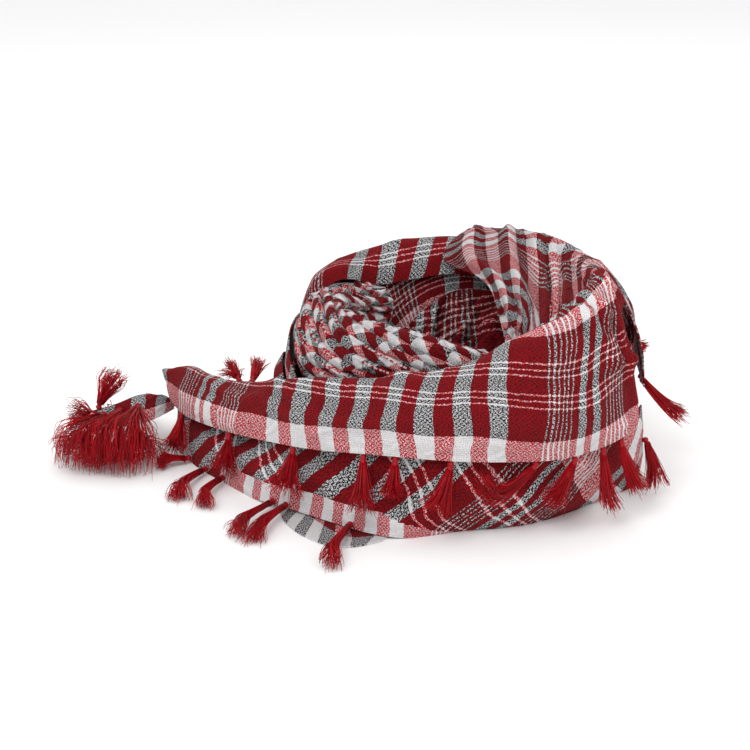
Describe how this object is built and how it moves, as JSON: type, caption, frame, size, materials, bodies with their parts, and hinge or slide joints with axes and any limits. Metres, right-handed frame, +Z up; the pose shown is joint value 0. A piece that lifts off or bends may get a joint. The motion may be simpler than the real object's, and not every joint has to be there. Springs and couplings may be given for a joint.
{
  "type": "headscarf",
  "caption": "Square checked cotton headscarf wound into a loose ring and laid down, its fringed edges and one corner trailing to the side.",
  "frame": {"origin": "middle of the bounding box on the floor the scarf lies on", "axes": "+Z up, -Y towards the side where the outer wrap's hem faces, -X towards the trailing corner"},
  "size_m": [0.534, 0.381, 0.1805],
  "materials": {
    "red_check": "matt woven cotton, red and white check with grey bands",
    "grey_check": "matt woven cotton, black and white check that reads as grey",
    "tassel_red": "loose cotton yarn, deep red"
  },
  "bodies": {
    "root": {"front_wrap": "red_check", "back_wrap": "red_check", "lower_panel": "red_check", "pleat_fan": "red_check", "tail_corner": "red_check", "nest_lining": "red_check", "hidden_layers": "red_check", "tail_mound": "red_check", "under_layer": "grey_check", "side_loop": "grey_check", "small_loop": "grey_check", "twisted_strand": "grey_check", "tassel_01": "tassel_red", "tassel_02": "tassel_red", "tassel_03": "tassel_red", "tassel_04": "tassel_red", "tassel_05": "tassel_red", "tassel_06": "tassel_red", "tassel_07": "tassel_red", "tassel_08": "tassel_red", "tassel_09": "tassel_red", "tassel_10": "tassel_red", "tassel_11": "tassel_red", "tassel_12": "tassel_red", "tassel_13": "tassel_red", "tassel_14": "tassel_red", "tassel_15": "tassel_red", "tassel_16": "tassel_red", "tassel_17": "tassel_red", "tassel_18": "tassel_red", "tassel_19": "tassel_red", "tassel_20": "tassel_red", "tassel_21": "tassel_red", "tassel_22": "tassel_red", "tassel_23": "tassel_red", "tassel_24": "tassel_red", "tassel_25": "tassel_red", "tassel_26": "tassel_red", "tassel_27": "tassel_red", "tassel_28": "tassel_red", "tassel_29": "tassel_red", "tassel_30": "tassel_red", "tassel_31": "tassel_red", "tassel_32": "tassel_red", "tassel_33": "tassel_red", "tassel_34": "tassel_red", "tassel_35": "tassel_red", "tassel_36": "tassel_red"}
  },
  "joints": []
}
